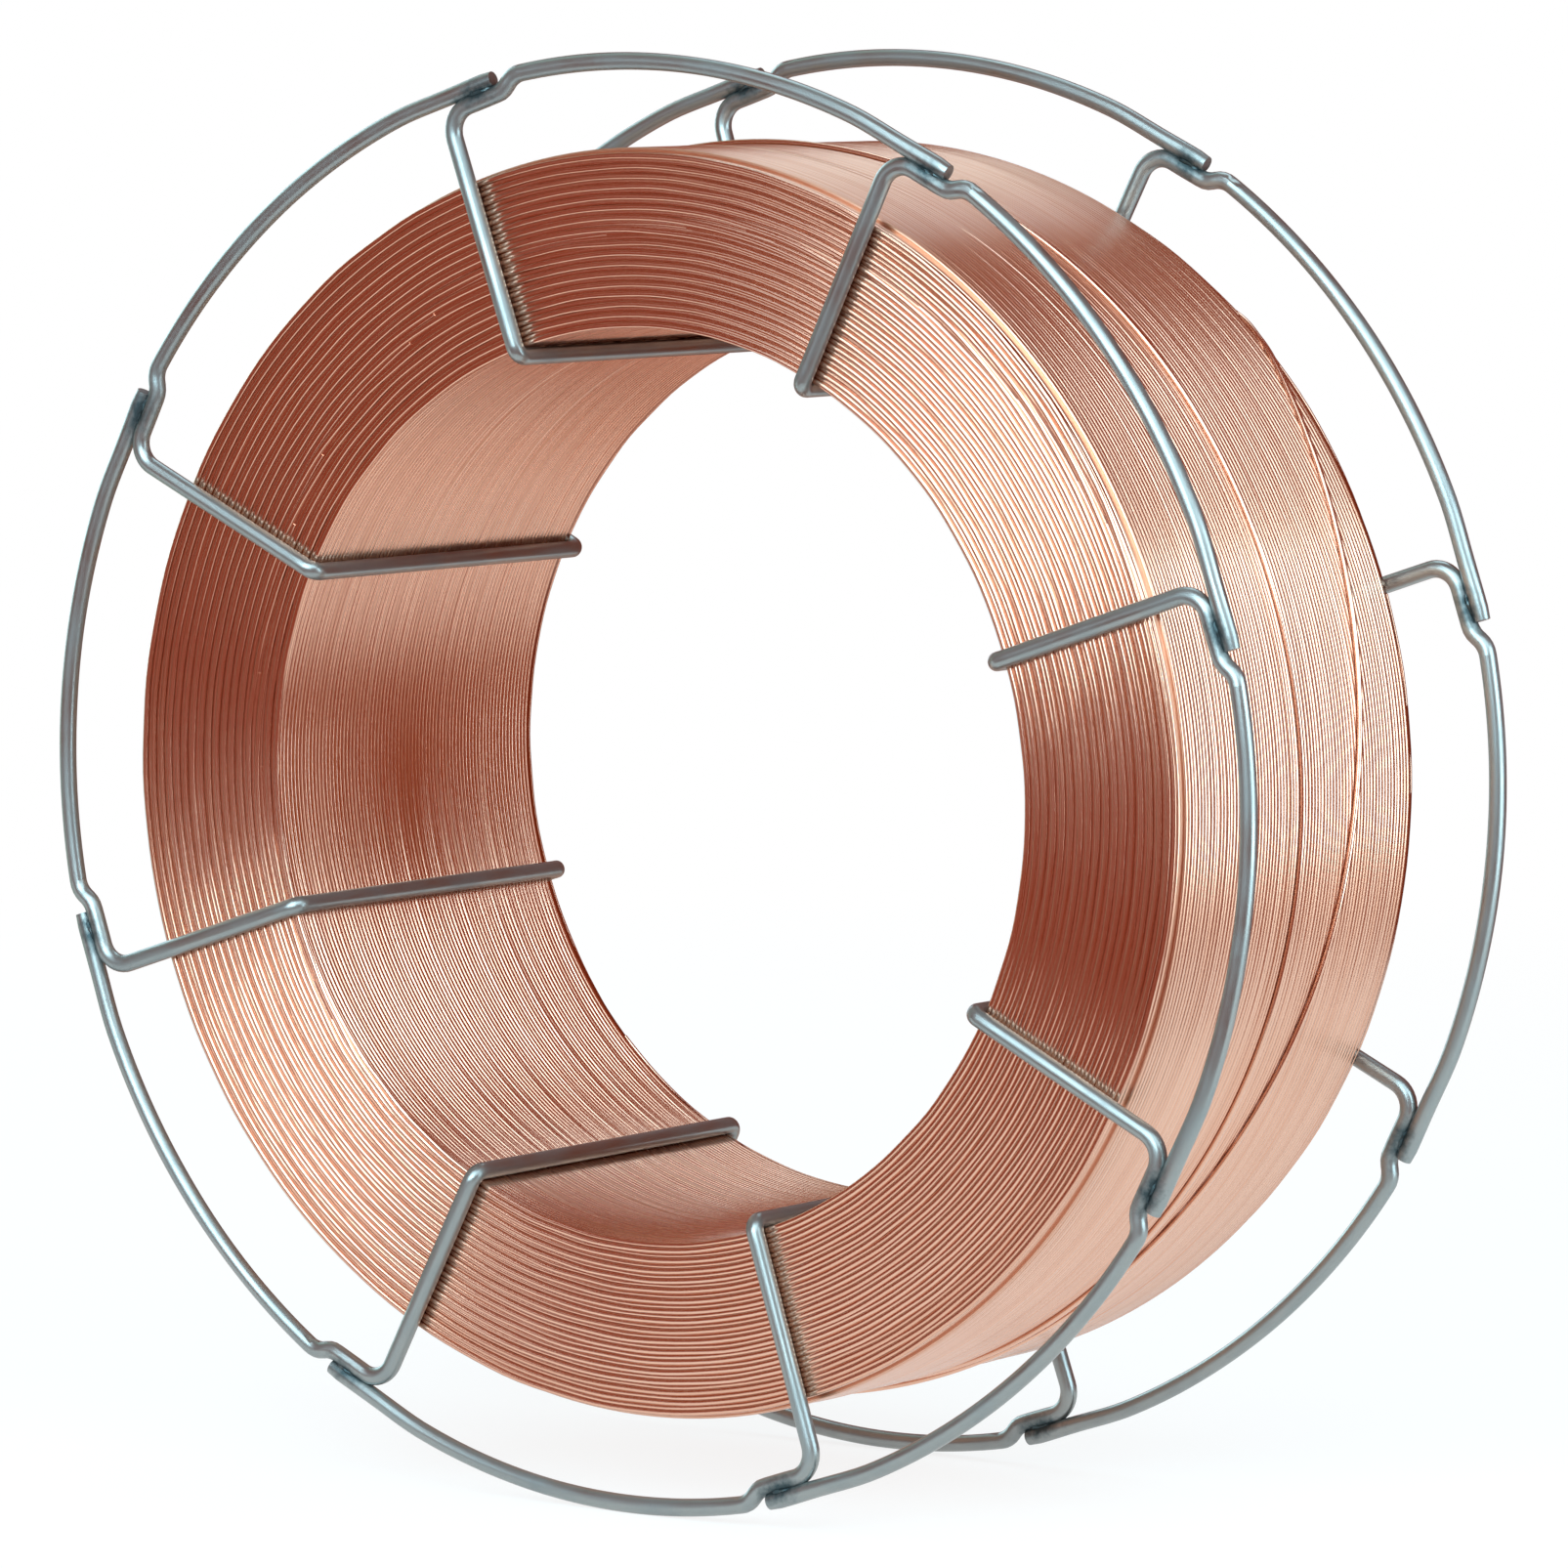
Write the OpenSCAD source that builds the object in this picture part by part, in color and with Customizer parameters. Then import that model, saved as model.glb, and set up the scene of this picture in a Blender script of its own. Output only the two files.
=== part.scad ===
// Spool of welding wire: a layer-wound coil held in a basket of eight bent and welded wires.
// Millimetres. The spool's axis runs along Y, +Z is up, and the origin is the spool's centre.

/* [Spool] */
// Outside diameter, over the cut ends of the rim wires
spool_d = 300; // [280:1:320]
// Width over both rims
spool_w = 100; // [80:1:120]
// Clear diameter inside the cross bars, where the adapter sits
bore_d = 180; // [170:1:190]
// Angle of the first spoke from the top, clockwise as seen from -Y
first_spoke_a = -18.6; // [-22.5:0.1:22.5]

/* [Basket wires] */
// Number of bent wires
wires = 8; // [6:1:10]
// Diameter of the basket wire
wire_d = 3.6; // [3:0.1:4]
// Outward lean of the spokes
flare = 1.4; // [0:0.1:3]
// Bend radius between spoke and rim, at the wire's centre
rim_bend_r = 5.5; // [4:0.1:8]
// Length of rim wire that laps over the next wire and is welded to it
lap = 13.3; // [10:0.1:18]
// Angle of the joggle that steps the rim out by one wire after each weld
joggle_a = 35; // [25:1:45]
// Bend radius of the joggle, at the wire's centre
joggle_r = 5; // [4:0.1:5]

/* [Welding wire] */
// Diameter of the wound wire
turn_d = 1.2; // [0.8:0.1:1.6]
// Number of double layers, which show as ridges on the ends
ridges = 17; // [12:1:18]
// How far the last layer stops short of the ridges
short_end = 3; // [1:0.1:6]

/* [Smoothness] */
// Number of flat sides round a basket wire
sides = 12; // [8:4:16]
// Largest angle of one step round a tight bend
tight_step = 24; // [15:1:30]
// Largest angle of one step round the rim
rim_step = 4; // [3:0.5:8]

/* [Hidden] */
$fa = 3;
$fs = 0.4;

// Basket: rim_r is the centre of a rim wire, seat_r that of the wire welded inside it
pitch_a = 360 / wires;
bar_r = (bore_d + wire_d) / 2;
rim_y = (spool_w - wire_d) / 2;
rim_r = sqrt(pow(spool_d / 2, 2) - pow(lap, 2)) - wire_d / 2;
seat_r = rim_r - wire_d;

// The corner between bar and spoke hugs the winding's first turn
corner_r = (wire_d + turn_d) / 2;
spoke_run = (seat_r - bar_r - corner_r * (1 - sin(flare))) / cos(flare) - rim_bend_r;
bar_half = rim_y - corner_r * cos(flare) - (spoke_run + rim_bend_r) * sin(flare);

// Joggle, as [outwards, along the rim] from the spool's axis to the centre of its second bend,
// which lands the wire on the rim's circle
joggle_dir = [sin(joggle_a), cos(joggle_a)];
joggle_side = [-cos(joggle_a), sin(joggle_a)];
joggle_base = [seat_r + joggle_r, lap] + 2 * joggle_r * joggle_side;
joggle_run = -joggle_base * joggle_dir
    + sqrt(pow(joggle_base * joggle_dir, 2) - joggle_base * joggle_base + pow(rim_r - joggle_r, 2));
joggle_centre = joggle_base + joggle_run * joggle_dir;
landing_a = atan2(joggle_centre[1], joggle_centre[0]);

// Winding: alternate layers nest in each other, so a ridge stands out at every second one
bore_r = bar_r + wire_d / 2;
layer = turn_d * sqrt(3) / 2;
first_turn = [bore_r + turn_d / 2, bar_half];
ridge_step = 2 * layer * [1, tan(flare)];
last_ridge = first_turn + (ridges - 1) * ridge_step;
nested_turn = last_ridge + [layer, -turn_d / 2];
top_turn = last_ridge + [2 * layer, -short_end];

// How half a basket wire is bent, from the middle of its cross bar to its cut end:
// [straight run, bend direction about the wire, bend radius, bend angle, largest step]
to_rim = -90;
round_axis = -90 - flare;
BENDS = [
    [bar_half, 0, corner_r, 90 - flare, tight_step],
    [spoke_run, to_rim, rim_bend_r, 90, tight_step],
    [lap - rim_bend_r, round_axis, joggle_r, -joggle_a, tight_step],
    [joggle_run, round_axis, joggle_r, joggle_a + landing_a, tight_step],
    [0, round_axis, rim_r, pitch_a - landing_a, rim_step],
    [lap, 0, 0, 0, 1],
];

// A frame is [place, forwards, left, up]. Each of these carries one a step along the wire.
function run(f, length) = [f[0] + length * f[1], f[1], f[2], f[3]];
function towards(f, a) = cos(a) * f[2] + sin(a) * f[3];
function turn(v, from, to, a) =
    v + (v * from) * ((cos(a) - 1) * from + sin(a) * to) + (v * to) * ((cos(a) - 1) * to - sin(a) * from);
function bend(f, dir, radius, a) =
    let (to = towards(f, dir), side = sign(a) * radius * to)
    [f[0] + side - turn(side, f[1], to, a), for (i = [1:3]) turn(f[i], f[1], to, a)];

// The frames of half a wire: one before the first bend, and one at every step of a bend
STEPS = [for (b = BENDS)
    let (parts = ceil(abs(b[3]) / b[4]))
    each concat([[b[0], 0, 0, 0]], [for (i = [0:1:parts - 1]) [0, b[1], b[2], b[3] / parts]])];
function advance(f, s) = bend(run(f, s[0]), s[1], s[2], s[3]);
start = [[bar_r, 0, 0], [0, 0, 1], [1, 0, 0], [0, 1, 0]];
FRAMES = [for (i = 0, f = start; i <= len(STEPS); f = i < len(STEPS) ? advance(f, STEPS[i]) : f, i = i + 1) f];

// Rings of points round the wire, flat side to flat side, and their mirror images past the middle
flat_r = wire_d / 2 / cos(180 / sides);
HALF = [for (f = FRAMES) [for (i = [0:sides - 1]) f[0] + flat_r * towards(f, (i + 0.5) * 360 / sides)]];
MIRRORED = [for (k = [len(HALF) - 1:-1:1]) [for (p = HALF[k]) [p[0], p[1], -p[2]]]];
RINGS = concat(MIRRORED, HALF);

// A closed tube through rings of points
module tube(rings) {
    n = len(rings[0]);
    last = len(rings) - 1;
    polyhedron(
        points = [for (ring = rings) each ring],
        faces = concat(
            [[for (i = [0:n - 1]) i], [for (i = [n - 1:-1:0]) last * n + i]],
            [for (k = [0:last - 1], i = [0:n - 1])
                [k * n + i, (k + 1) * n + i, (k + 1) * n + (i + 1) % n, k * n + (i + 1) % n]]
        ),
        convexity = 6
    );
}

// One wire of the basket: a cross bar inside the coil, and a spoke and rim over both of its ends
module basket_wire(n) {
    color("lightslategray")
        rotate([90, 0, 0]) rotate([0, 0, 90 - first_spoke_a - (n - 1) * pitch_a]) tube(RINGS);
}

// Puts a shape at both ends of the winding's section
module both_ends() {
    for (end = [0, 1]) mirror([0, end]) children();
}

// The wound welding wire, as one turned solid with its bore: the layers, whose ends follow the
// spokes, the short last layer over them, and the outermost turns, which stand out as ridges
module wire_winding() {
    outer_r = top_turn[0] + turn_d / 2;
    color("peru") rotate([90, 0, 0]) {
        rotate_extrude() both_ends() polygon([
            [bore_r, 0], [bore_r, first_turn[1]], first_turn, last_ridge, nested_turn,
            [nested_turn[0], top_turn[1]], [outer_r, top_turn[1]], [outer_r, 0]
        ]);
        rotate_extrude() both_ends()
            for (k = [0:ridges - 1]) translate(first_turn + k * ridge_step) circle(d = turn_d);
        for (turn = [nested_turn, top_turn])
            rotate_extrude() both_ends() translate(turn) circle(d = turn_d);
    }
}

wire_winding();
for (n = [1:wires])
    basket_wire(n);
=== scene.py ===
import math

import bpy
import numpy as np
from bpy.props import FloatProperty, FloatVectorProperty, IntProperty, PointerProperty
from bpy.types import Operator, Panel, PropertyGroup
from mathutils import Matrix, Vector


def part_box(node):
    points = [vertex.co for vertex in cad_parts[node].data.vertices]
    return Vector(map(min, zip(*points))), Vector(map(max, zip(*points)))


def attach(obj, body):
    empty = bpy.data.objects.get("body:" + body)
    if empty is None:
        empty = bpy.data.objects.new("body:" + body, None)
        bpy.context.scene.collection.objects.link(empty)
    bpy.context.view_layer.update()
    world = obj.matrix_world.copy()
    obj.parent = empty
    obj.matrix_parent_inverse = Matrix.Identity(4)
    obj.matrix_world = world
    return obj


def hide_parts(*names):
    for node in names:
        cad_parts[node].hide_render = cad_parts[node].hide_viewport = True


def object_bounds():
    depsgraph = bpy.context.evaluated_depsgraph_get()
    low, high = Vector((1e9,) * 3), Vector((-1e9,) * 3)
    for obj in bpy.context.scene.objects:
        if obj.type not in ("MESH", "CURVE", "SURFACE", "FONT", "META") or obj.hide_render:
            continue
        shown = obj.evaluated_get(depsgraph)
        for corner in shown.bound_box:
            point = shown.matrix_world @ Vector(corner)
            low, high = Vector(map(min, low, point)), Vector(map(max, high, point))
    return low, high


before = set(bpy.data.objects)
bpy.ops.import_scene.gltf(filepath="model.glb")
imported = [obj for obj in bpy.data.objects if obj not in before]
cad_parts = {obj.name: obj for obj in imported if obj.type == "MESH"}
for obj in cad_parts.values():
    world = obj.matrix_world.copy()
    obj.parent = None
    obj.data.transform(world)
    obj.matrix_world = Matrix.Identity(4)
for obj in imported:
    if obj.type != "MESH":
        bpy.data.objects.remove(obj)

bl_info = {
    "name": "Welding wire spool",
    "version": (1, 0, 0),
    "blender": (4, 5, 0),
    "location": "3D View > Sidebar > Wire spool",
    "description": "Makes a spool of welding wire: its turns, its bent wire basket and a small studio",
    "category": "Add Mesh",
}

# The spool's axis runs along Y, and its near end faces -Y. An angle round the axis starts at the
# top and goes clockwise as seen from the near end. Lengths are in metres unless a comment says mm.
MM = 0.001
FULL_TURN = 2 * math.pi
CAD_LOW, CAD_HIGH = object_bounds()
WINDING_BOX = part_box("wire_winding")
BASKET_NODES = sorted(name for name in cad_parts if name.startswith("basket_wire_"))


# ---- Settings ----

def number(name, description, default, **options):
    """A number that a user may change."""
    return FloatProperty(name=name, description=description, default=default, **options)


def length(name, description, default):
    """A length that a user may change, with its default in mm."""
    return number(name, description, default * MM, unit="LENGTH", precision=5)


def angle(name, description, default):
    """An angle that a user may change, with its default in degrees."""
    return number(name, description, math.radians(default), subtype="ANGLE")


def colour(name, description, default):
    """A colour that a user may change, as linear red, green and blue."""
    return FloatVectorProperty(
        name=name, description=description, default=default, subtype="COLOR", size=3, min=0, max=1)


class WindingSettings(PropertyGroup):
    """Sizes and colours of the wound welding wire."""

    turn_d: length("Wire", "Diameter of the welding wire", 1.2)
    double_layers: IntProperty(
        name="Double layers", description="Pairs of layers that end in one ridge", default=17, min=2)
    flare: angle("Flare", "Outward lean of the coil's ends", 1.4)
    short_end: length("Short end", "How far the last layer stops short", 3)
    climb_arc: angle("Climb", "Arc over which the wire climbs a layer at an end", 30)
    first_climb: angle("First climb", "Where the innermost pair climbs", -131)
    climb_drift: angle("Climb drift", "How far round it has moved at the outermost pair", 200)
    exchange: angle("Exchange", "Where both layers of a pair lie side by side on the end", 145)
    exchange_arc: angle("Exchange arc", "Arc over which they lie side by side", 40)
    uneven: number("Uneven", "How deep the lower of the two lies there, as a part of sunk", 0.4)
    sunk: length("Sunk", "How deep the hidden layer of a pair lies elsewhere", 0.4)
    end_relief: number("End relief", "Height of a turn on the ends, as a part of its radius", 0.62)
    side_relief: number("Side relief", "Height of a turn on the outside and in the bore, likewise", 0.76)
    wander: length("Wander", "How far a turn strays from its true place", 0.05)
    copper: colour("Copper", "Colour of the clean copper coat", (0.765, 0.42, 0.28))
    worn_copper: colour("Worn copper", "Colour of turns with a browner coat", (0.67, 0.31, 0.18))


class BasketSettings(PropertyGroup):
    """Sizes and colours of the bent wires of the basket."""

    wire_d: length("Wire", "Diameter of the basket wire", 3.6)
    spool_d: length("Spool", "Outside diameter of the spool, over the cut ends", 300)
    spool_w: length("Width", "Width of the spool over both rims", 100)
    rim_bend_r: length("Rim bend", "Radius of the bend between spoke and rim", 5.5)
    lap: length("Lap", "Length of rim that is welded over the next wire", 13.3)
    joggle_a: angle("Joggle", "Angle of the joggle after each weld", 35)
    joggle_r: length("Joggle bend", "Bend radius of the joggle", 5)
    first_spoke_a: angle("First spoke", "Angle of the first spoke from the top", -18.6)
    zinc: colour("Zinc", "Colour of the plated basket wire", (0.335, 0.35, 0.34))
    dull_zinc: colour("Dull zinc", "Colour where the plating is dull", (0.22, 0.235, 0.235))
    burnt: colour("Burnt", "Colour of the plating that a weld has burnt", (0.045, 0.068, 0.075))
    pressed: length("Pressed", "How far a lapped end is pressed into the wire under it", 0.4)


class StageSettings(PropertyGroup):
    """The camera, the lights and what the metal reflects."""

    camera_azimuth: angle("Camera azimuth", "Turn of the camera round the spool from its near end", 34.636)
    camera_elevation: angle("Camera elevation", "Height of the camera over the horizon", 5.211)
    camera_distance: length("Camera distance", "From the camera to the point it looks at", 1833)
    aim_right: length("Aim right", "How far right of the spool's centre the camera aims", 3.79)
    aim_up: length("Aim up", "How far above it the camera aims", -2.81)
    lens: number("Lens", "Focal length of the camera, in millimetres", 202.14)
    key: number("Key", "Brightness of the key softbox, where 1 is white", 7.2)
    side: number("Side", "Brightness of the side softbox", 4.8)
    high: number("High", "Brightness of the high softbox on the right", 2.7)
    rear: number("Rear", "Brightness of the softboxes behind the spool", 2.1)
    room: number("Room", "Strength of the light from all round", 0.45)
    lamp_colour: colour("Lamps", "Colour of the softboxes", (0.595, 0.89, 1.0))
    dark_cloth: colour("Dark cloth", "Colour of the cloth that the metal reflects", (0.285, 0.055, 0.018))
    grey_cloth: colour("Grey cloth", "Colour of the cloth on the left", (0.55, 0.68, 0.58))
    # Painted shadow: the spool's shadow on the floor, painted as an evenly glowing patch that only
    # reflections show, warmed by a painted reflection of its copper
    painted_shadow_cloth: colour("Shade", "Colour of the floor that the spool shades", (0.70, 0.44, 0.35))


# ---- Surfaces ----

def smooth_step(t):
    """Rises from 0 to 1 as t does, with level ends: three t squared less two t cubed."""
    t = np.clip(t, 0, 1)
    return t * t * (3 - 2 * t)


def angles_round(count):
    """Angles that go once round in equal steps."""
    return np.arange(count) * FULL_TURN / count


def round_axis(theta, radius, axial):
    """The point at an angle, a radius and a place along the axis: (R sin a, y, R cos a)."""
    theta, radius, axial = np.broadcast_arrays(theta, radius, axial)
    return np.stack([radius * np.sin(theta), axial, radius * np.cos(theta)], -1)


def unit(vectors):
    """The vectors, each divided by its length."""
    return vectors / np.linalg.norm(vectors, axis=-1, keepdims=True)


def waves(rng, theta, shape, lowest=2, highest=9):
    """A smooth random wander that closes after a full turn.

    For each row it is a sum of waves sin(n a + phase) lowest / n, each with its own phase.
    """
    total = np.zeros(np.broadcast_shapes(theta.shape, shape))
    for n in range(lowest, highest + 1):
        phase = rng.uniform(0, FULL_TURN, shape)
        total = total + np.sin(n * theta + phase) * lowest / n
    return total


def grid_faces(rows, columns, closed_rows=False, closed_columns=False):
    """The quads between neighbouring rows and columns of points; a closed direction goes round."""
    row = np.arange(rows if closed_rows else rows - 1)[:, None]
    column = np.arange(columns if closed_columns else columns - 1)[None, :]
    row_after, column_after = (row + 1) % rows, (column + 1) % columns
    corners = [row * columns + column, row * columns + column_after,
               row_after * columns + column_after, row_after * columns + column]
    return np.stack([np.broadcast_to(c, (row.size, column.size)) for c in corners], -1).reshape(-1, 4)


def tube_faces(rows, columns):
    """The quads of a tube, whose rows of points go round it, and the polygons that close its ends."""
    first = np.arange(columns)
    return [grid_faces(rows, columns, False, True), np.stack([first[::-1], (rows - 1) * columns + first])]


def turned_outwards(points, polygons):
    """The polygons, turned round where the solid they close has a negative volume.

    A polygon's share is a sixth of p0 . (p1 x p2), summed over the fan of triangles from p0.
    """
    volume = 0.0
    for group in polygons:
        first = points[group[:, 0]]
        for i in range(1, group.shape[1] - 1):
            volume += np.einsum("ij,ij", first, np.cross(points[group[:, i]], points[group[:, i + 1]]))
    return [group[:, ::-1] for group in polygons] if volume < 0 else polygons


def solid_of_turns(radius, axial, turn_r, relief, outward, steps, theta, core):
    """One closed ring whose skin is a row of wound turns.

    A turn is half an ellipse about its (radius, axial) in the plane through the axis: turn_r wide
    each way and turn_r x relief high, outward. It runs from groove to groove, where neighbours
    meet: with heights divided by the relief they are circles, which meet at the neighbour's
    direction less acos(distance / 2 turn_r). The arcs are carried round the axis by theta, and the
    ring is closed through one circle at core.
    """
    centre = np.stack([radius, axial])
    out = np.reshape(outward, (2, 1, 1))
    along = np.abs(out[::-1])
    step = np.diff(centre, axis=1)
    step_out, step_along = (step * out).sum(0) / relief, (step * along).sum(0)
    neighbour_a = np.arctan2(step_along, step_out)
    half_lens = np.arccos(np.clip(np.hypot(step_along, step_out) / (2 * turn_r), 0, 1))
    quarter = np.full((1, theta.size), math.pi / 2)
    end = np.concatenate([neighbour_a - half_lens, quarter])
    start = np.concatenate([-quarter, neighbour_a - math.pi + half_lens])
    t = np.linspace(0, 1, steps, endpoint=False)[:, None]
    a = start[:, None] + (end - start)[:, None] * t
    height, width = np.cos(a) * relief, np.sin(a)
    arcs = centre[:, :, None] + turn_r * (height * out[..., None] + width * along[..., None])
    tail = centre[:, -1:] + turn_r * along
    closing = np.broadcast_to(np.reshape(core, (2, 1, 1)), tail.shape)
    rows = np.concatenate([arcs.reshape(2, -1, theta.size), tail, closing], axis=1)
    points = round_axis(theta, *rows).reshape(-1, 3)
    polygons = turned_outwards(points, [grid_faces(rows.shape[1], theta.size, True, True)])
    across = np.repeat(np.arange(rows.shape[1]) / steps, theta.size)
    return points, polygons, across


def swept_wires(places, along, out, radius_out, radius_side):
    """Closed wires with an oval section, as points and polygons.

    A section's point at angle b is place + radius_out cos b out' + radius_side sin b side', where
    side' is along x out and out' is side' x along, made unit vectors. Places and directions are
    wires x sections x 3, and radii are wires x sections x sides.
    """
    wires, sections, sides = radius_out.shape
    along = unit(along)
    side = unit(np.cross(along, out))
    out = np.cross(side, along)
    b = angles_round(sides)
    points = (places[:, :, None] + (radius_out * np.cos(b))[..., None] * out[:, :, None]
              + (radius_side * np.sin(b))[..., None] * side[:, :, None]).reshape(-1, 3)
    offset = np.arange(wires)[:, None, None] * sections * sides
    polygons = [(faces + offset).reshape(-1, faces.shape[1]) for faces in tube_faces(sections, sides)]
    return points, turned_outwards(points, polygons)


def joined(parts):
    """Several (points, polygons, values) as one."""
    points, polygons, values = zip(*parts)
    starts = np.cumsum([0, *map(len, points)])
    polygons = [group + start for groups, start in zip(polygons, starts) for group in groups]
    values = {name: np.concatenate([np.broadcast_to(v[name], len(p)) for p, v in zip(points, values)])
              for name in values[0]}
    return np.concatenate(points), polygons, values


def make_piece(name, points, polygons, values, material, nodes, sharp_a):
    """A mesh object at the origin from arrays, with its values as attributes."""
    mesh = bpy.data.meshes.new(name)
    mesh.vertices.add(len(points))
    mesh.vertices.foreach_set("co", np.ascontiguousarray(points, np.float32).ravel())
    corners = np.concatenate([group.ravel() for group in polygons]).astype(np.int32)
    sizes = np.concatenate([np.full(len(group), group.shape[1]) for group in polygons]).astype(np.int32)
    mesh.loops.add(len(corners))
    mesh.loops.foreach_set("vertex_index", corners)
    mesh.polygons.add(len(sizes))
    mesh.polygons.foreach_set("loop_start", (np.cumsum(sizes) - sizes).astype(np.int32))
    mesh.update(calc_edges=True)
    if mesh.validate():
        raise RuntimeError(f"the mesh of {name} had faces that are not valid")
    mesh.shade_smooth()
    mesh.set_sharp_from_angle(angle=sharp_a)
    for key, value in values.items():
        layer = mesh.attributes.new(key, "FLOAT", "POINT")
        layer.data.foreach_set("value", np.ascontiguousarray(value, np.float32))
    mesh.materials.append(material)
    piece = bpy.data.objects.new(name, mesh)
    bpy.context.scene.collection.objects.link(piece)
    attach(piece, "root")
    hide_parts(*nodes)


# ---- Materials ----

class Signal:
    """One output of a material's nodes. Sums and products of signals add Math nodes."""

    def __init__(self, tree, socket=None):
        self.tree = tree
        self.socket = socket

    def node(self, kind, inputs, output=0, **settings):
        """One output of a new node, from its settings and its inputs by name or number."""
        node = self.tree.nodes.new(kind)
        for name, value in settings.items():
            setattr(node, name, value)
        for key, value in inputs.items():
            if isinstance(value, Signal):
                self.tree.links.new(value.socket, node.inputs[key])
            else:
                node.inputs[key].default_value = value
        return Signal(self.tree, node.outputs[output])

    def math(self, operation, *values):
        return self.node("ShaderNodeMath", dict(enumerate(values)), operation=operation)

    def __add__(self, other):
        return self.math("ADD", self, other)

    def __sub__(self, other):
        return self.math("SUBTRACT", self, other)

    def __rsub__(self, other):
        return self.math("SUBTRACT", other, self)

    def __mul__(self, other):
        return self.math("MULTIPLY", self, other)

    __radd__ = __add__
    __rmul__ = __mul__

    def held(self, low, high):
        """The range from low to high, stretched to 0 to 1 and held there."""
        return self.node("ShaderNodeMapRange", {"Value": self, "From Min": low, "From Max": high})

    def colour_mix(self, low, high):
        """Colour low where the signal is 0, and colour high where it is 1."""
        return self.node("ShaderNodeMix", {0: self, 6: low, 7: high}, output=2, data_type="RGBA")

    def place(self):
        """The place on the object, as a vector."""
        return self.node("ShaderNodeTexCoord", {}, output="Object")

    def part(self, axis):
        """The X, Y or Z of a vector."""
        return self.node("ShaderNodeSeparateXYZ", {"Vector": self}, output=axis)

    def vector(self, x, y, z):
        return self.node("ShaderNodeCombineXYZ", {"X": x, "Y": y, "Z": z})

    def attribute(self, name):
        """The piece's value of that name, or 0 where it has none."""
        return self.node("ShaderNodeAttribute", {}, output="Fac", attribute_name=name)

    def noise(self, place, scale, detail=2.0, roughness=0.5):
        inputs = {"Vector": place, "Scale": scale, "Detail": detail, "Roughness": roughness}
        return self.node("ShaderNodeTexNoise", inputs)

    def show(self, kind="ShaderNodeOutputMaterial"):
        """Makes the signal the surface that the nodes show."""
        output = self.tree.nodes.new(kind)
        self.tree.links.new(self.socket, output.inputs["Surface"])


def opaque(rgb):
    """A colour setting as the four numbers that a node takes."""
    return (*rgb, 1.0)


def new_material(name):
    """An empty material, and a signal to build its nodes from."""
    material = bpy.data.materials.new(name)
    material.use_nodes = True
    material.node_tree.nodes.clear()
    return material, Signal(material.node_tree)


def copper_material(settings):
    """Copper-coated welding wire: bright drawn copper, each turn a little different.

    Its streaks are noise on (x, z, across), so they are long round the axis and thin across the wire.
    """
    material, nodes = new_material("welding_wire_copper")
    place = nodes.place()
    x, z = place.part("X"), place.part("Z")
    across, tone, rubbed = map(nodes.attribute, ("across", "tone", "rubbed"))
    streak = nodes.noise(nodes.vector(x * 25, z * 25, across * 7), 1.0, 3.0)
    cloud = nodes.noise(place, 28.0, 3.0)
    drawn = nodes.noise(nodes.vector(x * 30, z * 30, across * 12), 1.0, 1.0)
    browned = (tone * 0.45 + streak * 0.35 + cloud * 0.45).held(0.4, 1.1)
    base = browned.colour_mix(opaque(settings.copper), opaque(settings.worn_copper))
    roughness = 0.18 + browned * 0.05 + streak * 0.03 + rubbed * 0.11
    bump = nodes.node("ShaderNodeBump", {"Strength": 0.3, "Distance": 0.01 * MM, "Height": drawn})
    nodes.node("ShaderNodeBsdfPrincipled", {
        "Base Color": base, "Metallic": 1.0, "Roughness": roughness, "Normal": bump,
        "Coat Weight": 1.0, "Coat IOR": 1.9, "Coat Roughness": 0.2}).show()
    return material


def zinc_material(settings):
    """Bright zinc-plated steel wire, dull in patches and burnt blue-black at the welds."""
    material, nodes = new_material("basket_wire_zinc")
    place = nodes.place()
    along, across, weld = map(nodes.attribute, ("along", "across", "weld"))
    patches = nodes.noise(place, 60.0, 4.0, 0.6)
    blotches = nodes.noise(place, 420.0, 3.0, 0.6)
    grain = nodes.noise(place, 900.0, 2.0)
    drawn = nodes.noise(nodes.vector(along * 90, across * 5, 0.0), 1.0, 3.0)
    dull = (patches * 0.8 + drawn * 0.5).held(0.45, 0.95)
    plated = dull.colour_mix(opaque(settings.zinc), opaque(settings.dull_zinc))
    burn = (weld * 1.2 + (patches - 0.5) * 0.5 + (blotches - 0.5) * 1.2).held(0.3, 1.0)
    base = burn.colour_mix(plated, opaque(settings.burnt))
    roughness = 0.26 + dull * 0.12 + grain * 0.04 + burn * 0.15
    height = drawn * 0.8 + grain * 0.2 + burn * blotches * 2.5
    bump = nodes.node("ShaderNodeBump", {"Strength": 0.2, "Distance": 0.015 * MM, "Height": height})
    nodes.node("ShaderNodeBsdfPrincipled", {
        "Base Color": base, "Metallic": 0.95 - dull * 0.25, "Roughness": roughness, "Normal": bump}).show()
    return material


# ---- The winding ----

# Sections round the axis and points across a turn, on the outside and in the bore
SIDE_COLUMNS, SIDE_STEPS = 256, 5
# Sections in one round of a wire and points round it, on an end, and points across a turn behind it
END_COLUMNS, END_SIDES, BACKING_STEPS = 200, 10, 3
# Each piece counts across its turns from its own number, so that no two have the same streaks
OUTSIDE_ACROSS, BORE_ACROSS, END_ACROSS, BACKING_ACROSS, FREE_END_ACROSS = 0, 200, 400, 600, 800
MEAN_TONE = 0.5


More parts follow.
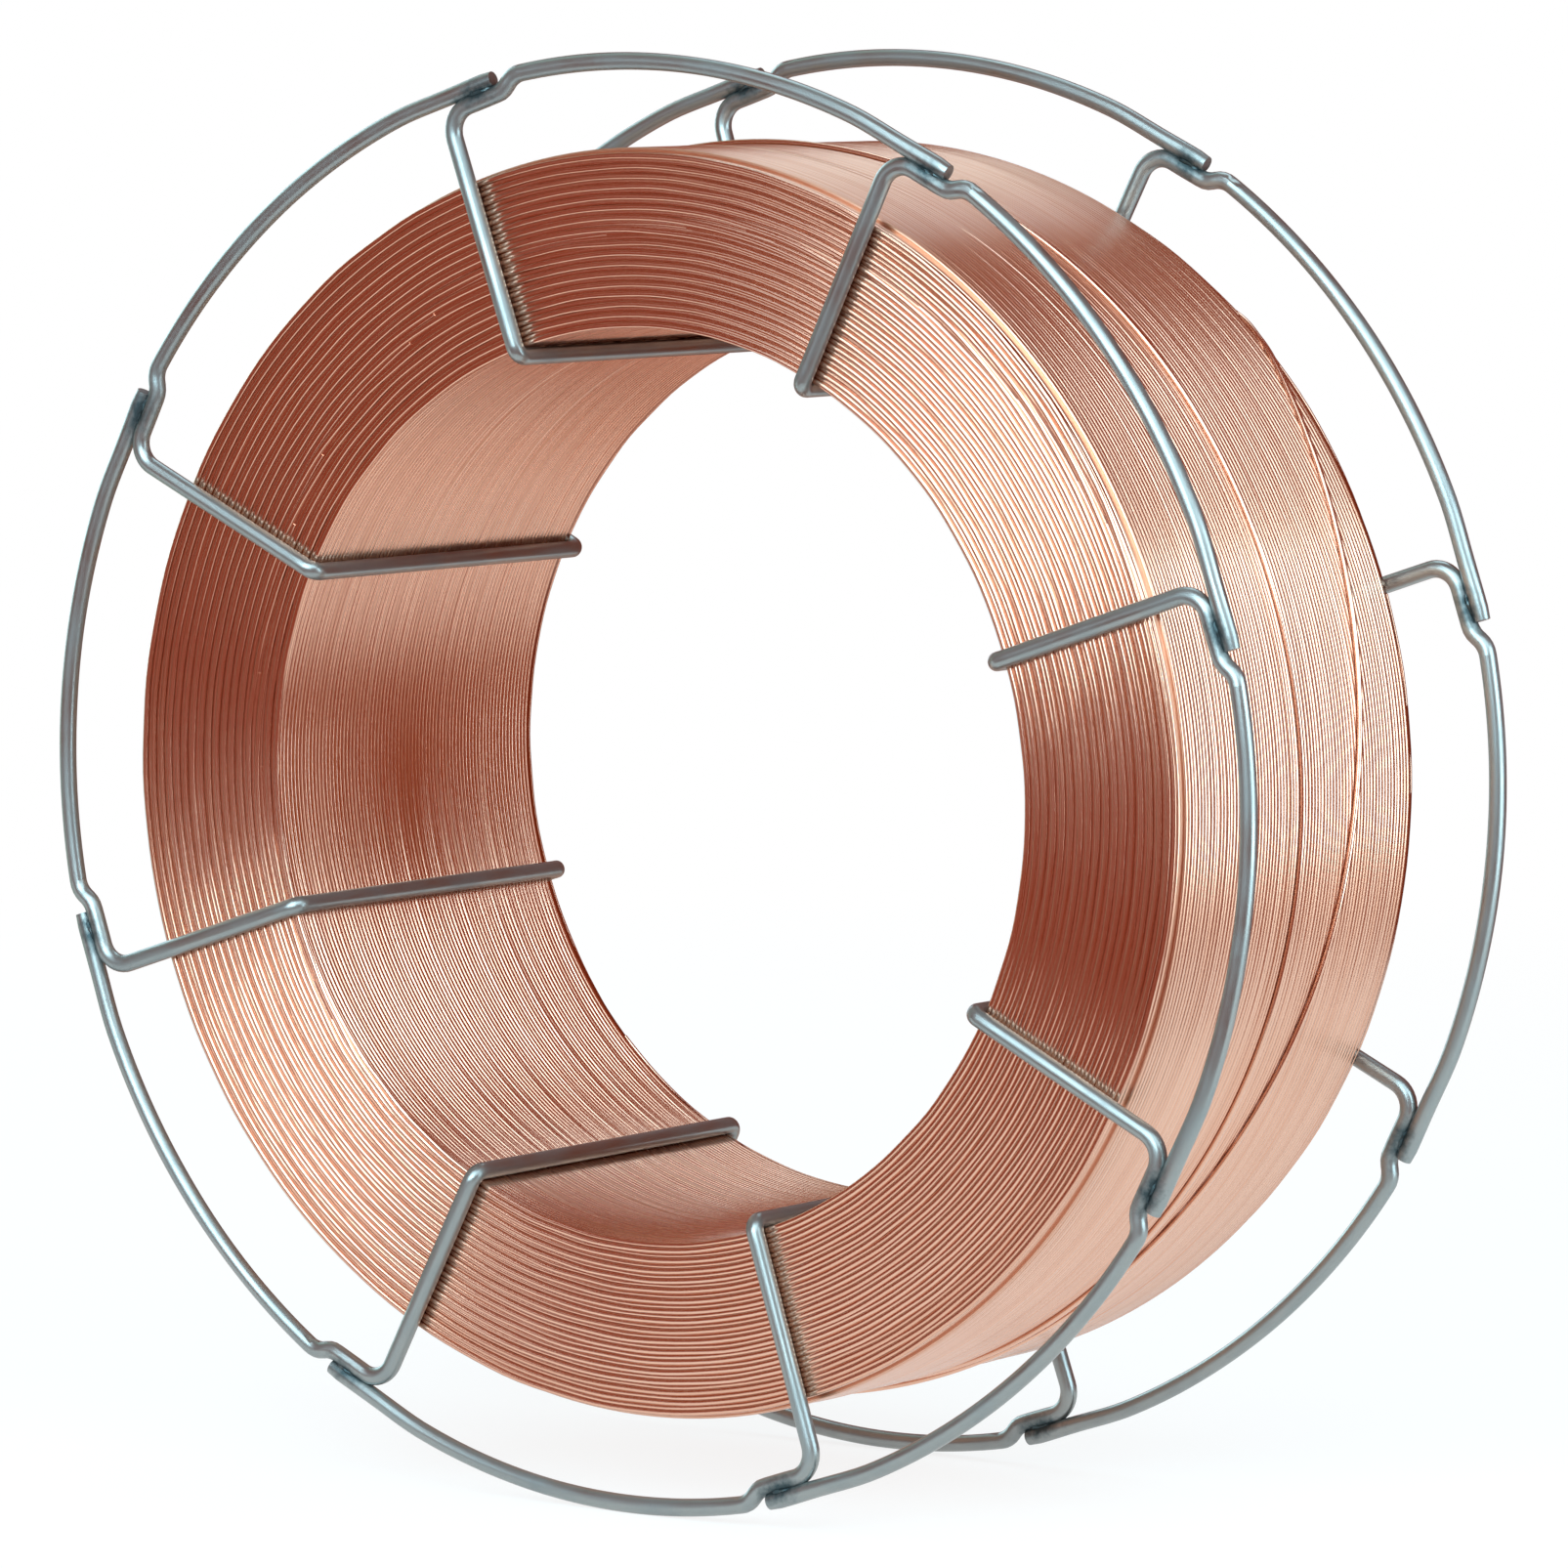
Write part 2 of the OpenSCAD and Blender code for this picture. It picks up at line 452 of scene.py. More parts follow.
class Layout:
    """Where the layers of the winding lie, from the frame's box and the wire's diameter.

    Turns rest in the grooves of the layer under them, so a layer is half the square root of three
    of a diameter thick. The ends follow the flare of the spokes.
    """

    def __init__(self, settings):
        self.turn_d = settings.turn_d
        self.turn_r = settings.turn_d / 2
        self.end_lift = self.turn_r * (1 - settings.end_relief)
        self.side_lift = self.turn_r * (1 - settings.side_relief)
        self.layer = settings.turn_d * math.sqrt(3) / 2
        self.layers = 2 * settings.double_layers
        self.lean = math.tan(settings.flare)
        self.top_r = WINDING_BOX[1].x - self.turn_r
        self.first_r = self.top_r - self.layers * self.layer
        self.first_y = WINDING_BOX[1].y - self.turn_r - (self.layers - 2) * self.layer * self.lean
        self.core = ((self.first_r + self.top_r) / 2, 0)

    def end_y(self, radius):
        """How far from the middle an end stands at a radius."""
        return self.first_y + (radius - self.first_r) * self.lean


def winding_piece(name, points, polygons, values):
    """A piece of the winding, with what all of them share. Its grooves are sharp."""
    groove_a = math.radians(65)
    material = bpy.data.materials.get("welding_wire_copper")
    material = material or copper_material(bpy.context.scene.spool_winding)
    make_piece(name, points, polygons, values, material, ["wire_winding"], groove_a)


def row_of_turns(seed, settings, radius, half_width, proud):
    """Centres and tones of one layer's turns, side by side, each straying a little from its place."""
    out_part, along_part, whole_part, chance_proud, rise = 0.2, 0.3, 0.25, 0.07, 1.6
    rng = np.random.default_rng(seed)
    theta = angles_round(SIDE_COLUMNS)
    count = int(round(2 * half_width / settings.turn_d)) + 1
    shape = (count, 1)
    axial = np.linspace(-half_width, half_width, count)[:, None]
    stray = waves(rng, theta, shape) * settings.wander
    stray_y = waves(rng, theta, shape) * settings.wander * along_part
    lifted = rng.random(shape) < chance_proud
    middle = rng.uniform(0, FULL_TURN, shape)
    window = smooth_step(rise * np.cos(theta - middle))
    whole_turn = rng.normal(0, settings.wander * whole_part, shape)
    radii = radius + stray * out_part + whole_turn + proud * lifted * window
    return radii, axial + stray_y, rng.random(count)


def side_piece(name, settings, layout, turns, out, first_across, rubbed):
    """A piece from the centres and tones of one layer's turns. Out is -1 where it faces the bore."""
    radii, axial, tones = turns
    points, polygons, across = solid_of_turns(
        radii + out * layout.side_lift, axial, layout.turn_r, settings.side_relief, (out, 0), SIDE_STEPS,
        angles_round(SIDE_COLUMNS), layout.core)
    tone = np.repeat(np.append(np.repeat(tones, SIDE_STEPS), [MEAN_TONE] * 2), SIDE_COLUMNS)
    values = {"across": across + first_across, "tone": tone, "rubbed": np.full(len(points), rubbed)}
    winding_piece(name, points, polygons, values)


class SPOOL_OT_outer_turns(Operator):
    """Makes the last layer of turns, which is the coil's outside"""

    bl_idname = "spool.outer_turns"
    bl_label = "Outer turns"

    def execute(self, context):
        settings = context.scene.spool_winding
        layout = Layout(settings)
        half_width = layout.end_y(layout.top_r - 2 * layout.layer) - settings.short_end
        radii, axial, tones = row_of_turns(11, settings, layout.top_r, half_width, 2 * settings.wander)
        # A turn of the layer under it shows beyond each edge, this many diameters from the end
        from_end = 1.5
        under_r = layout.top_r - layout.layer
        under_y = layout.end_y(under_r) - from_end * layout.turn_d
        edge = np.ones((1, SIDE_COLUMNS))
        radii = np.concatenate([under_r * edge, radii, under_r * edge])
        axial = np.concatenate([-under_y * edge, axial, under_y * edge])
        tones = np.concatenate([[MEAN_TONE], tones, [MEAN_TONE]])
        side_piece("outer_turns", settings, layout, (radii, axial, tones), 1, OUTSIDE_ACROSS, rubbed=1)
        return {"FINISHED"}


class SPOOL_OT_bore_turns(Operator):
    """Makes the first layer of turns, which lines the coil's bore"""

    bl_idname = "spool.bore_turns"
    bl_label = "Bore turns"

    def execute(self, context):
        settings = context.scene.spool_winding
        layout = Layout(settings)
        half_width = layout.first_y - layout.turn_d
        proud = -2 * settings.wander
        turns = row_of_turns(12, settings, layout.first_r + settings.wander, half_width, proud)
        side_piece("bore_turns", settings, layout, turns, -1, BORE_ACROSS, rubbed=0.5)
        return {"FINISHED"}


def climb_angles(settings, rng):
    """The angle at which each double layer climbs: it drifts round, fast at first, with a jitter."""
    drift_power, jitter_a = 0.75, math.radians(4)
    part = np.linspace(0, 1, settings.double_layers)
    jitter = rng.normal(0, jitter_a, settings.double_layers)
    return settings.first_climb + settings.climb_drift * part ** drift_power + jitter


def part_sunk(settings, from_climb, goes_down):
    """How far a wire of an end is sunk, from 0 to 1, at angles from its climb.

    It sinks by a smooth step after the exchange, at goes_down. A turn before, it comes up by two:
    to uneven before the exchange, and to the surface after it.
    """
    after = from_climb - goes_down - settings.exchange_arc / 2
    before = goes_down - FULL_TURN - settings.exchange_arc / 2 - from_climb
    apart = before + settings.exchange_arc + settings.climb_arc
    sinks = smooth_step(after / settings.climb_arc)
    comes_up = smooth_step(before / settings.climb_arc) * (1 - settings.uneven)
    comes_up = comes_up + smooth_step(apart / settings.climb_arc) * settings.uneven
    return np.maximum(sinks, comes_up)


def end_wires(layout, settings, end, rng):
    """The outermost turns on one end: one wire for each double layer, which goes twice round.

    It comes up out of the coil along the lower layer, climbs to the layer above by a smooth step
    and goes down again along it, towards smaller angles. Its two rounds lie side by side at the
    exchange. Its section is squared: at b its radius is (|cos b|^power + |sin b|^power)^(-1/power).
    """
    rounds, power, jitter_a = 0.985, 3, math.radians(5)
    ripple, ripple_waves, depth_part = 0.35, (25, 45), 0.6
    shape = (settings.double_layers, 1)
    from_climb = np.linspace(-rounds, rounds, 2 * END_COLUMNS)[None, :] * FULL_TURN
    climb = climb_angles(settings, rng)[:, None]
    theta = climb - from_climb
    pair = np.arange(settings.double_layers)[:, None]
    risen = smooth_step(from_climb / settings.climb_arc + 0.5)
    stray = waves(rng, theta, shape) + ripple * waves(rng, theta, shape, *ripple_waves)
    radius = layout.first_r + layout.layer * (2 * pair + risen) + stray * settings.wander
    exchange = settings.exchange + rng.normal(0, jitter_a, shape)
    depth = settings.sunk * part_sunk(settings, from_climb, (climb - exchange) % FULL_TURN)
    depth = depth + (rng.random(shape) + waves(rng, theta, shape) * depth_part) * settings.wander
    axial = end * (layout.end_y(radius) + layout.end_lift - np.maximum(depth, 0))
    places = round_axis(theta, radius, axial)
    b = angles_round(END_SIDES)
    squared = (np.abs(np.cos(b)) ** power + np.abs(np.sin(b)) ** power) ** (-1 / power)
    thick = np.broadcast_to(squared * layout.turn_r, (*theta.shape, END_SIDES))
    points, polygons = swept_wires(
        places, np.gradient(places, axis=1), round_axis(theta, 1, 0), thick, thick * settings.end_relief)
    across = (3 * pair[..., None] + np.arange(END_SIDES) / END_SIDES + 0 * theta[..., None]).ravel()
    tone = np.repeat(rng.random(settings.double_layers), 2 * END_COLUMNS * END_SIDES)
    return points, polygons, {"across": across + END_ACROSS, "tone": tone}


def end_backing(layout, settings, end):
    """The turns that lie just behind the outermost ones of an end and show through the gaps."""
    theta = angles_round(END_COLUMNS)
    radius = layout.first_r + layout.layer * np.arange(layout.layers)[:, None] + 0 * theta
    axial = end * (layout.end_y(radius) + layout.end_lift - settings.sunk - 2 * settings.wander)
    points, polygons, across = solid_of_turns(
        radius, axial, layout.turn_r, settings.end_relief, (0, end), BACKING_STEPS, theta, layout.core)
    return points, polygons, {"across": across + BACKING_ACROSS, "tone": MEAN_TONE}


class SPOOL_OT_end_turns(Operator):
    """Makes both ends of the coil, where the wire climbs from each layer to the next"""

    bl_idname = "spool.end_turns"
    bl_label = "End turns"

    def execute(self, context):
        settings = context.scene.spool_winding
        layout = Layout(settings)
        for name, end, seed in (("near_end_turns", -1, 13), ("far_end_turns", 1, 14)):
            wires = end_wires(layout, settings, end, np.random.default_rng(seed))
            winding_piece(name, *joined([wires, end_backing(layout, settings, end)]))
        return {"FINISHED"}


def through(knots, per_span):
    """A smooth curve through a list of knots, with a cubic on each span.

    The slope m at a knot is half the way from the knot before it to the one after it, and a span is
    p0 + (3t2-2t3) (p1-p0) + (t3-2t2+t) m0 + (t3-t2) m1.
    """
    knots = np.asarray(knots, float)
    slopes = np.gradient(knots, axis=0)
    t = np.linspace(0, 1, per_span, endpoint=False)[None, :, None]
    p0, p1, m0, m1 = (a[:, None] for a in (knots[:-1], knots[1:], slopes[:-1], slopes[1:]))
    spans = p0 + smooth_step(t) * (p1 - p0) + (t ** 3 - 2 * t ** 2 + t) * m0 + (t ** 3 - t ** 2) * m1
    return np.concatenate([spans.reshape(-1, knots.shape[1]), knots[-1:]])


# The free end's route: (angle in degrees, height over the last layer's centres in wire diameters,
# place along the axis in mm). It comes up out of the last layer, goes once round the coil beside
# the middle, crosses slowly to the far end and is bent over the edge.
FREE_END_ROUTE = [
    (176, -0.3, -0.4), (164, 0.1, -0.3), (152, 0.8, -0.2), (138, 0.87, 0), (120, 0.87, 0),
    (90, 0.87, 0.1), (60, 0.87, 0), (31, 0.87, 0.1), (0, 0.87, 0.3), (-40, 0.87, 0.6),
    (-80, 0.87, 0.9), (-120, 0.87, 1.2), (-160, 0.87, 1.6), (-190, 0.9, 2.4), (-210, 0.95, 3.6),
    (-224, 1, 5.6), (-240, 1, 10), (-256, 1, 15.8), (-272, 1, 21.4), (-288, 1, 28), (-300, 1, 34),
    (-307, 1, 38.2), (-312, 0.95, 41.6),
]
# Then over the edge and round the nearest spoke: (angle, radius in mm, place along the axis in mm)
HOOK_ROUTE = [
    (-314.5, 130.1, 43.4), (-316.3, 129.5, 44.9), (-318, 128.5, 46.1), (-320.5, 126.9, 46.6),
    (-324, 124.7, 46.8), (-328, 122.6, 47.3), (-331.3, 121, 48.7), (-333.4, 120.3, 50.2),
    (-335.5, 119.9, 48.9), (-336.5, 120.2, 47.5), (-336.9, 121.6, 46.9), (-337, 124.5, 47),
]


class SPOOL_OT_free_end(Operator):
    """Makes the free end of the wire, which runs across the coil and hooks round a spoke"""

    bl_idname = "spool.free_end"
    bl_label = "Free end"

    def execute(self, context):
        layout = Layout(context.scene.spool_winding)
        on_coil = [(a, layout.top_r + h * layout.turn_d, y * MM) for a, h, y in FREE_END_ROUTE]
        hook = [(a, radius * MM, y * MM) for a, radius, y in HOOK_ROUTE]
        per_span, lean, shade = 24, 0.3, 0.2
        route_a, radius, axial = through(on_coil + hook, per_span).T
        route_a = np.radians(route_a)
        places = round_axis(route_a, radius, axial)[None]
        # The way out leans along the axis, so that it is never the way that the wire goes
        out = round_axis(route_a, 1, lean)[None]
        thick = np.full((1, len(route_a), END_SIDES), layout.turn_r)
        points, polygons = swept_wires(places, np.gradient(places, axis=1), out, thick, thick)
        across = np.tile(np.arange(END_SIDES) / END_SIDES + FREE_END_ACROSS, len(route_a))
        values = {"across": across, "tone": np.full(len(points), shade)}
        winding_piece("free_end", points, polygons, values)
        return {"FINISHED"}


# ---- The basket ----

BASKET_SIDES = 24
SPACING = FULL_TURN / len(BASKET_NODES)
# Local axes of a bent wire
OUTWARDS, AGAINST_RIM, ALONG_AXIS = np.eye(3)


class Basket:
    """Where the rims, the welds and the cross bars of the basket lie."""

    def __init__(self, settings, layout):
        self.wire_r = settings.wire_d / 2
        self.bar_r = layout.first_r - layout.turn_r - settings.wire_d / 2
        self.rim_z = (settings.spool_w - settings.wire_d) / 2
        self.rim_r = math.sqrt((settings.spool_d / 2) ** 2 - settings.lap ** 2) - settings.wire_d / 2
        self.seat_r = self.rim_r - settings.wire_d
        self.weld_r = self.seat_r + settings.wire_d / 2
        self.weld_middle = (settings.rim_bend_r + settings.lap) / 2
        self.weld_half = (settings.lap - settings.rim_bend_r) / 2


def joggle_run(settings, basket):
    """The straight run in a joggle, and the angle round the axis at which the joggle ends.

    In (outwards, along the rim), the centre of the second bend is two bend radii across and one run
    ahead of the first one's. The run puts it rim_r - joggle_r from the axis, where it meets the rim.
    """
    radius, a = settings.joggle_r, settings.joggle_a
    ahead = np.array([math.sin(a), math.cos(a)])
    sideways = np.array([-math.cos(a), math.sin(a)])
    base = np.array([basket.seat_r + radius, settings.lap]) + 2 * radius * sideways
    reach = base @ ahead
    run = -reach + math.sqrt(reach ** 2 - base @ base + (basket.rim_r - radius) ** 2)
    landing = base + run * ahead
    return run, math.atan2(landing[1], landing[0])


def bending_table(settings, layout, basket):
    """How half of a basket wire is bent, from the middle of its cross bar to its cut end.

    A row is a straight run, and a bend's direction about the wire, its radius and its angle. The
    last run lies over the next wire and has no bend.
    """
    corner_r = (settings.wire_d + layout.turn_d) / 2
    flare = math.atan(layout.lean)
    spoke_run = (basket.seat_r - basket.bar_r - corner_r * (1 - math.sin(flare))) / math.cos(flare)
    spoke_run = spoke_run - settings.rim_bend_r
    spoke_rise = (spoke_run + settings.rim_bend_r) * math.sin(flare)
    bar_half = basket.rim_z - corner_r * math.cos(flare) - spoke_rise
    run, landing_a = joggle_run(settings, basket)
    to_rim, rim_way = -math.pi / 2, -math.pi / 2 - flare
    return [
        (bar_half, 0.0, corner_r, math.pi / 2 - flare),
        (spoke_run, to_rim, settings.rim_bend_r, math.pi / 2),
        (settings.lap - settings.rim_bend_r, rim_way, settings.joggle_r, -settings.joggle_a),
        (run, rim_way, settings.joggle_r, settings.joggle_a + landing_a),
        (0.0, rim_way, basket.rim_r, SPACING - landing_a),
        (settings.lap, 0.0, 1.0, 0.0),
    ]


def turned(vector, start, towards, angles):
    """A vector turned from one unit direction towards another, by each of an array of angles."""
    part_start, part_towards = vector @ start, vector @ towards
    cosine, sine = np.cos(angles)[:, None], np.sin(angles)[:, None]
    return (vector + part_start * ((cosine - 1) * start + sine * towards)
            + part_towards * ((cosine - 1) * towards - sine * start))


def bent_wire(table, place, wire_d):
    """Places, directions and left sides along a wire bent by a table, and how tight it is bent.

    Local x is outwards, -y is along the rim and z is along the axis, where the wire starts.
    An arc's points are its centre less the vector to the centre turned by each angle.
    """
    run_step, bend_step, bend_step_a = 2.5 * MM, 2.4 * MM, math.radians(9)
    forwards, left, up = ALONG_AXIS, OUTWARDS, AGAINST_RIM
    parts = []
    for run, about, radius, bend_a in table:
        steps = max(int(run / run_step), 1)
        straight = place + np.linspace(0, run, steps, endpoint=False)[:, None] * forwards
        ways, lefts = np.tile(forwards, (steps, 1)), np.tile(left, (steps, 1))
        parts.append((straight, ways, lefts, np.zeros(steps)))
        place = place + run * forwards
        if bend_a == 0:
            continue
        towards = math.cos(about) * left + math.sin(about) * up
        inwards = math.copysign(radius, bend_a) * towards
        steps = max(int(abs(bend_a) * radius / bend_step), int(abs(bend_a) / bend_step_a), 2)
        angles = np.linspace(0, bend_a, steps, endpoint=False)
        arc = place + inwards - turned(inwards, forwards, towards, angles)
        ways, lefts = (turned(v, forwards, towards, angles) for v in (forwards, left))
        parts.append((arc, ways, lefts, np.sin(np.pi * angles / bend_a) * min(1.0, wire_d / radius)))
        last = np.array([bend_a])
        place = (place + inwards - turned(inwards, forwards, towards, last))[0]
        forwards, left, up = (turned(v, forwards, towards, last)[0] for v in (forwards, left, up))
    parts.append((place[None], forwards[None], left[None], np.zeros(1)))
    return [np.concatenate(part) for part in zip(*parts)]


def to_spool(local, spoke_a):
    """Local x, y, z (outwards, against the rim's way, along the axis) to the spool's own axes."""
    turn = math.pi / 2 - spoke_a
    x = local[..., 0] * math.cos(turn) - local[..., 1] * math.sin(turn)
    y = local[..., 0] * math.sin(turn) + local[..., 1] * math.cos(turn)
    return np.stack([x, -local[..., 2], y], -1)


def weld_bead(settings, basket, end, spoke_a, rng):
    """The metal squeezed out of a weld, which fills the crevice between two lapped wires.

    At w from the middle of the lap and v out to the side, the crevice is 2 (r - sqrt(r2 - v2))
    high. The bead fills it out to v = width sqrt(1 - w2), a long ellipse.
    """
    rows, sides, wire_r = 17, 12, basket.wire_r
    half_width, differs, widest, lumpy, tip = 0.8, 0.04, 0.97, 0.1, 0.03
    long, filled, proud, high, burnt = 0.9, 0.9, 0.06 * MM, 1.1, 0.85
    w = np.linspace(-1, 1, rows)[:, None]
    b = angles_round(sides)[None, :]
    width = (half_width + differs * rng.normal()) * wire_r
    lumps = 1 + lumpy * waves(rng, w * math.pi / 2 + b, (1, 1), 2, 6)
    blunt = np.sign(np.cos(b)) * np.sqrt(np.abs(np.cos(b)))
    side = width * np.sqrt(np.maximum(1 - w ** 2, tip ** 2)) * blunt
    side = np.clip(side * lumps, -widest * wire_r, widest * wire_r)
    crevice = filled * (wire_r - np.sqrt(wire_r ** 2 - side ** 2)) + proud
    x = basket.weld_r - settings.pressed / 2 + crevice * np.sin(b) * high
    y = -(basket.weld_middle + long * basket.weld_half * w) + 0 * b
    z = end * (basket.rim_z + side)
    points = to_spool(np.stack([x, y, z], -1).reshape(-1, 3), spoke_a)
    polygons = turned_outwards(points, tube_faces(rows, sides))
    return points, polygons, {"along": 0.0, "across": 0.0, "weld": burnt}


def worked_section(basket, travelled, to_end, tight, squashed, rng):
    """The radii of a wire's sections outwards and sideways, as the making leaves them.

    A bend squeezes and bulges them, drawing makes them oval and uneven, and a cut is rounded.
    """
    squeeze, bulge, unevenness, oval, rounding, cut_l = 0.06, 0.05, 0.012, 0.006, 0.12, 0.25 * MM
    b = angles_round(BASKET_SIDES)
    uneven = waves(rng, travelled[:, None] / travelled[-1] * FULL_TURN, (1, 1), 3, 14) * unevenness
    bulged = 1 + bulge * tight[:, None] + uneven
    drawn = 1 + oval * np.sin(2 * b + rng.uniform(0, FULL_TURN)) + 0 * travelled[:, None]
    cut = 1 - rounding * np.exp(-to_end / cut_l)[:, None]
    radius_out = basket.wire_r * (1 - squeeze * tight[:, None] - squashed) * drawn * cut
    radius_side = basket.wire_r * (bulged + squashed) * drawn * cut
    return radius_out, radius_side


def basket_wire(settings, layout, spoke_a, rng):
    """One bent wire with its two welds, from a half and its mirror image.

    A weld's marks fall off as exp(-(d / reach)^2) from its middle, on the wire that is lapped over
    and on the one under it. The lapped ends are pressed towards the wire under them.
    """
    reach_part, squash, under_part, burnt, burnt_side = 0.62, 0.07, 0.6, 0.6, 0.45
    basket = Basket(settings, layout)
    half = bent_wire(bending_table(settings, layout, basket), basket.bar_r * OUTWARDS, settings.wire_d)
    mirror = np.array([1.0, 1.0, -1.0])
    places, ways, lefts, tight = (
        np.concatenate([v[:0:-1] * flip, v]) for v, flip in zip(half, (mirror, -mirror, mirror, 1)))
    travelled = np.append(0, np.cumsum(np.linalg.norm(np.diff(places, axis=0), axis=1)))
    to_end = np.minimum(travelled, travelled[-1] - travelled)
    at_rim = np.abs(np.abs(places[:, 2]) - basket.rim_z) < settings.wire_d / 4
    at_spoke = np.arctan2(-places[:, 1], places[:, 0]) < SPACING / 2
    reach = reach_part * basket.weld_middle
    under = at_rim * np.exp(-((-places[:, 1] - basket.weld_middle) / reach) ** 2) * at_spoke
    over = np.exp(-((to_end - (settings.lap - basket.weld_middle)) / reach) ** 2)
    pressed = smooth_step(1 - (to_end - settings.lap) / settings.lap) * settings.pressed
    next_out = np.array([math.cos(SPACING), -math.sin(SPACING), 0.0])
    places = to_spool(places - pressed[:, None] * next_out, spoke_a)
    squashed = squash * (over + under_part * under)[:, None]
    radius_out, radius_side = worked_section(basket, travelled, to_end, tight, squashed, rng)
    points, polygons = swept_wires(
        places[None], to_spool(ways, spoke_a)[None], to_spool(lefts, spoke_a)[None],
        radius_out[None], radius_side[None])
    from_middle = points.reshape(-1, BASKET_SIDES, 3) - places[:, None]
    facing_out, facing_next = (from_middle @ to_spool(OUTWARDS, a) / basket.wire_r
                               for a in (spoke_a, spoke_a + SPACING))
    weld = under[:, None] * (burnt + burnt_side * facing_out)
    weld = weld + over[:, None] * (burnt - burnt_side * facing_next)
    values = {"along": np.repeat(travelled, BASKET_SIDES), "weld": np.clip(weld, 0, 1).ravel(),
              "across": np.tile(angles_round(BASKET_SIDES) / FULL_TURN, len(places))}
    beads = [weld_bead(settings, basket, end, spoke_a, rng) for end in (-1, 1)]
    return joined([(points, polygons, values), *beads])


class SPOOL_OT_basket(Operator):
    """Makes the bent and welded wires of the basket"""

    bl_idname = "spool.basket"
    bl_label = "Basket wires"

    def execute(self, context):
        settings = context.scene.spool_basket
        layout = Layout(context.scene.spool_winding)
        material = zinc_material(settings)
        first_seed, end_edge_a = 30, math.radians(50)
        for n, node in enumerate(BASKET_NODES):
            rng = np.random.default_rng(first_seed + n)
            spoke_a = settings.first_spoke_a + n * SPACING
            points, polygons, values = basket_wire(settings, layout, spoke_a, rng)
            make_piece(node.replace("basket", "bent"), points, polygons, values, material,
                       [node], end_edge_a)
        return {"FINISHED"}


# ---- The stage ----

FLOOR_SIZE = 80.0
DOME_RADIUS = 3.2
CLOTH_Z = CAD_LOW.z + 0.002
CLOTH_COLUMNS, DOME_ROWS = 33, 19
WHITE = (1.0, 1.0, 1.0, 1.0)
PAPER = (0.9, 0.9, 0.9, 1.0)


def seen_directly(nodes):
    """1 for camera, glossy and transmission rays, which see the white background, and 0 for others."""
    camera, glossy, transmission = (
        nodes.node("ShaderNodeLightPath", {}, output=name)
        for name in ("Is Camera Ray", "Is Glossy Ray", "Is Transmission Ray"))
    return nodes.math("MINIMUM", camera + glossy + transmission, 1.0)


def floor_material():
    """A pale floor: most of what is seen directly is plain white, and the rest takes the shadow.

    The plain white takes over altogether away from the spool, so the floor has no edge.
    """
    plain, grows_from, grows_to = 0.82, 0.3, 1.2
    material, nodes = new_material("pale_floor")
    distance = nodes.node("ShaderNodeVectorMath", {0: nodes.place()}, output="Value", operation="LENGTH")
    paper = nodes.node("ShaderNodeBsdfDiffuse", {"Color": PAPER})
    white = nodes.node("ShaderNodeEmission", {"Color": WHITE, "Strength": 1.0})
    share = seen_directly(nodes) * (plain + (1 - plain) * distance.held(grows_from, grows_to))
    nodes.node("ShaderNodeMixShader", {0: share, 1: paper, 2: white}).show()
    return material


def cloth_material(name, rgb):
    """Cloth round the stage, which is evenly lit, so it has one brightness."""
    material, nodes = new_material(name)
    nodes.node("ShaderNodeEmission", {"Color": opaque(rgb), "Strength": 1.0}).show()
    return material


def stage_mesh(name, points, polygons, material):
    """A part of the stage."""
    mesh = bpy.data.meshes.new(name)
    mesh.from_pydata(points.tolist(), [], polygons.tolist())
    mesh.materials.append(material)
    thing = bpy.data.objects.new(name, mesh)
    bpy.context.scene.collection.objects.link(thing)
    return thing


def facing_matrix(place, target):
    """A place whose -Z looks at the target, upright."""
    turn = (target - place).to_track_quat("-Z", "Y")
    return Matrix.Translation(place) @ turn.to_matrix().to_4x4()


def bearing(azimuth, elevation):
    """The unit vector at an azimuth from the near end and a height over the horizon, in degrees."""
    a, e = math.radians(azimuth), math.radians(elevation)
    return Vector((math.sin(a) * math.cos(e), -math.cos(a) * math.cos(e), math.sin(e)))


def softbox(name, azimuth, elevation, width, height, brightness, distance=1.8):
    """A rectangular lamp that faces the spool. Its power is four times area times brightness."""
    lamp = bpy.data.lights.new(name, "AREA")
    lamp.shape = "RECTANGLE"
    lamp.size = width
    lamp.size_y = height
    lamp.energy = 4 * width * height * brightness
    lamp.color = bpy.context.scene.spool_stage.lamp_colour
    thing = bpy.data.objects.new(name, lamp)
    thing.matrix_world = facing_matrix(bearing(azimuth, elevation) * distance, Vector())
    thing.visible_camera = False
    bpy.context.scene.collection.objects.link(thing)


def draped(name, azimuths, distances, heights, material):
    """Cloth round the spool that only reflections show.

    It is a grid over the azimuths, and over the distances and heights as pairs.
    """
    a = np.radians(np.linspace(*azimuths, CLOTH_COLUMNS))[:, None]
    points = np.stack([np.sin(a) * distances, -np.cos(a) * distances, heights + 0 * a], -1).reshape(-1, 3)
    thing = stage_mesh(name, points, grid_faces(CLOTH_COLUMNS, distances.size), material)
    for ray in ("camera", "diffuse", "shadow", "transmission"):
        setattr(thing, f"visible_{ray}", False)


def dome_cloth(name, azimuths, start, material):
    """Cloth that lies on the floor from a distance on, and hangs over the stage as a dome."""
    e = np.radians(np.linspace(0, 90, DOME_ROWS))
    distances = np.append(start, DOME_RADIUS * np.cos(e))
    heights = np.append(CLOTH_Z, np.maximum(DOME_RADIUS * np.sin(e), CLOTH_Z))
    heights[1] = CLOTH_Z
    draped(name, azimuths, distances, heights, material)


